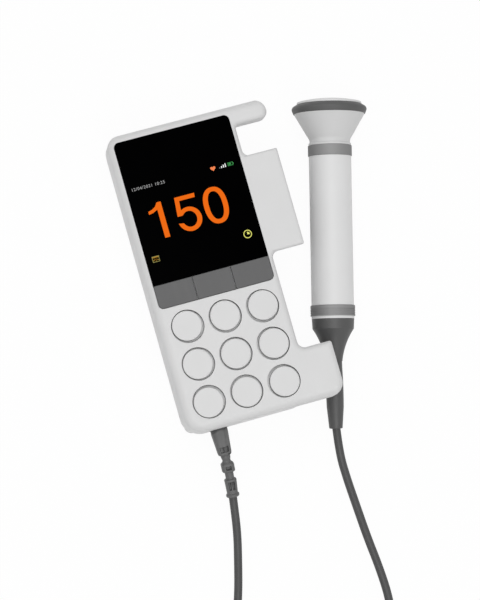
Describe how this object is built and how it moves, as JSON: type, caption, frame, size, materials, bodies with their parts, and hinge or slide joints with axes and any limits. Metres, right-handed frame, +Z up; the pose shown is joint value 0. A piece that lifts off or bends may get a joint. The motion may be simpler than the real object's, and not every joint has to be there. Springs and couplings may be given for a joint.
{
  "type": "fetal doppler monitor",
  "caption": "Hand-held fetal doppler: a flat unit with a display, soft keys, round keys and a side bay with arms, and a corded ultrasound probe with a flared face that stows in the bay.",
  "frame": {"origin": "middle of the unit's flat rear face, on which it lies", "axes": "+Z up out of the display, +Y towards the display end of the unit, +X towards the side with the arms and the probe"},
  "size_m": [0.1286, 0.2889, 0.0346],
  "materials": {
    "housing_white": "satin moulded plastic, very fine grain",
    "key_white": "satin moulded plastic",
    "soft_key_grey": "matt moulded plastic",
    "display_glass": "polished black window",
    "display_panel": "colour display panel",
    "foam_black": "closed-cell foam",
    "board_green": "solder mask",
    "silicone_grey": "moulded silicone",
    "speaker_black": "paper cone in a steel basket",
    "battery_wrap": "shrink sleeve",
    "screw_steel": "plated steel",
    "socket_steel": "plated steel shell",
    "socket_black": "moulded connector body",
    "cord_grey": "matt dark grey elastomer",
    "boot_grey": "matt dark grey elastomer",
    "collar_grey": "matt mid grey elastomer band",
    "probe_white": "satin moulded plastic",
    "probe_grey": "matt mid grey elastomer ring",
    "ceramic": "silvered ceramic disc"
  },
  "bodies": {
    "housing": {"front_cover": "housing_white", "rear_cover": "housing_white", "case_screws": "screw_steel", "display_window": "display_glass", "display_panel": "display_panel", "display_gasket": "foam_black", "main_board": "board_green", "key_mat": "silicone_grey", "speaker": "speaker_black", "battery_pack": "battery_wrap", "charge_socket": "socket_steel", "probe_socket": "socket_black", "probe_plug": "boot_grey", "plug_boot": "boot_grey", "probe_face": "probe_white", "rim_ring": "probe_grey", "probe_horn": "probe_white", "upper_collar": "collar_grey", "probe_tube": "probe_white", "lower_collar": "collar_grey", "spacer_ring": "probe_white", "probe_boot": "boot_grey", "transducer_crystals": "ceramic", "probe_board": "board_green", "cable_plug_run": "cord_grey", "cable_coil": "cord_grey", "cable_probe_run": "cord_grey"},
    "battery_door": {"battery_door": "housing_white"},
    "soft_key_1": {"soft_key_1": "soft_key_grey"},
    "soft_key_2": {"soft_key_2": "soft_key_grey"},
    "soft_key_3": {"soft_key_3": "soft_key_grey"},
    "round_key_1": {"round_key_1": "key_white"},
    "round_key_2": {"round_key_2": "key_white"},
    "round_key_3": {"round_key_3": "key_white"},
    "round_key_4": {"round_key_4": "key_white"},
    "round_key_5": {"round_key_5": "key_white"},
    "round_key_6": {"round_key_6": "key_white"},
    "round_key_7": {"round_key_7": "key_white"},
    "round_key_8": {"round_key_8": "key_white"},
    "round_key_9": {"round_key_9": "key_white"}
  },
  "joints": [
    {"name": "battery_door_slide", "type": "slide", "parent": "housing", "child": "battery_door", "axis": [0, -1, 0], "range_m": [0, 0.012]},
    {"name": "soft_key_1_press", "type": "slide", "parent": "housing", "child": "soft_key_1", "axis": [0, 0, -1], "range_m": [0, 0.0005], "stiffness_N_per_m": 4000},
    {"name": "soft_key_2_press", "type": "slide", "parent": "housing", "child": "soft_key_2", "axis": [0, 0, -1], "range_m": [0, 0.0005], "stiffness_N_per_m": 4000},
    {"name": "soft_key_3_press", "type": "slide", "parent": "housing", "child": "soft_key_3", "axis": [0, 0, -1], "range_m": [0, 0.0005], "stiffness_N_per_m": 4000},
    {"name": "round_key_1_press", "type": "slide", "parent": "housing", "child": "round_key_1", "axis": [0, 0, -1], "range_m": [0, 0.0008], "stiffness_N_per_m": 2500},
    {"name": "round_key_2_press", "type": "slide", "parent": "housing", "child": "round_key_2", "axis": [0, 0, -1], "range_m": [0, 0.0008], "stiffness_N_per_m": 2500},
    {"name": "round_key_3_press", "type": "slide", "parent": "housing", "child": "round_key_3", "axis": [0, 0, -1], "range_m": [0, 0.0008], "stiffness_N_per_m": 2500},
    {"name": "round_key_4_press", "type": "slide", "parent": "housing", "child": "round_key_4", "axis": [0, 0, -1], "range_m": [0, 0.0008], "stiffness_N_per_m": 2500},
    {"name": "round_key_5_press", "type": "slide", "parent": "housing", "child": "round_key_5", "axis": [0, 0, -1], "range_m": [0, 0.0008], "stiffness_N_per_m": 2500},
    {"name": "round_key_6_press", "type": "slide", "parent": "housing", "child": "round_key_6", "axis": [0, 0, -1], "range_m": [0, 0.0008], "stiffness_N_per_m": 2500},
    {"name": "round_key_7_press", "type": "slide", "parent": "housing", "child": "round_key_7", "axis": [0, 0, -1], "range_m": [0, 0.0008], "stiffness_N_per_m": 2500},
    {"name": "round_key_8_press", "type": "slide", "parent": "housing", "child": "round_key_8", "axis": [0, 0, -1], "range_m": [0, 0.0008], "stiffness_N_per_m": 2500},
    {"name": "round_key_9_press", "type": "slide", "parent": "housing", "child": "round_key_9", "axis": [0, 0, -1], "range_m": [0, 0.0008], "stiffness_N_per_m": 2500}
  ]
}
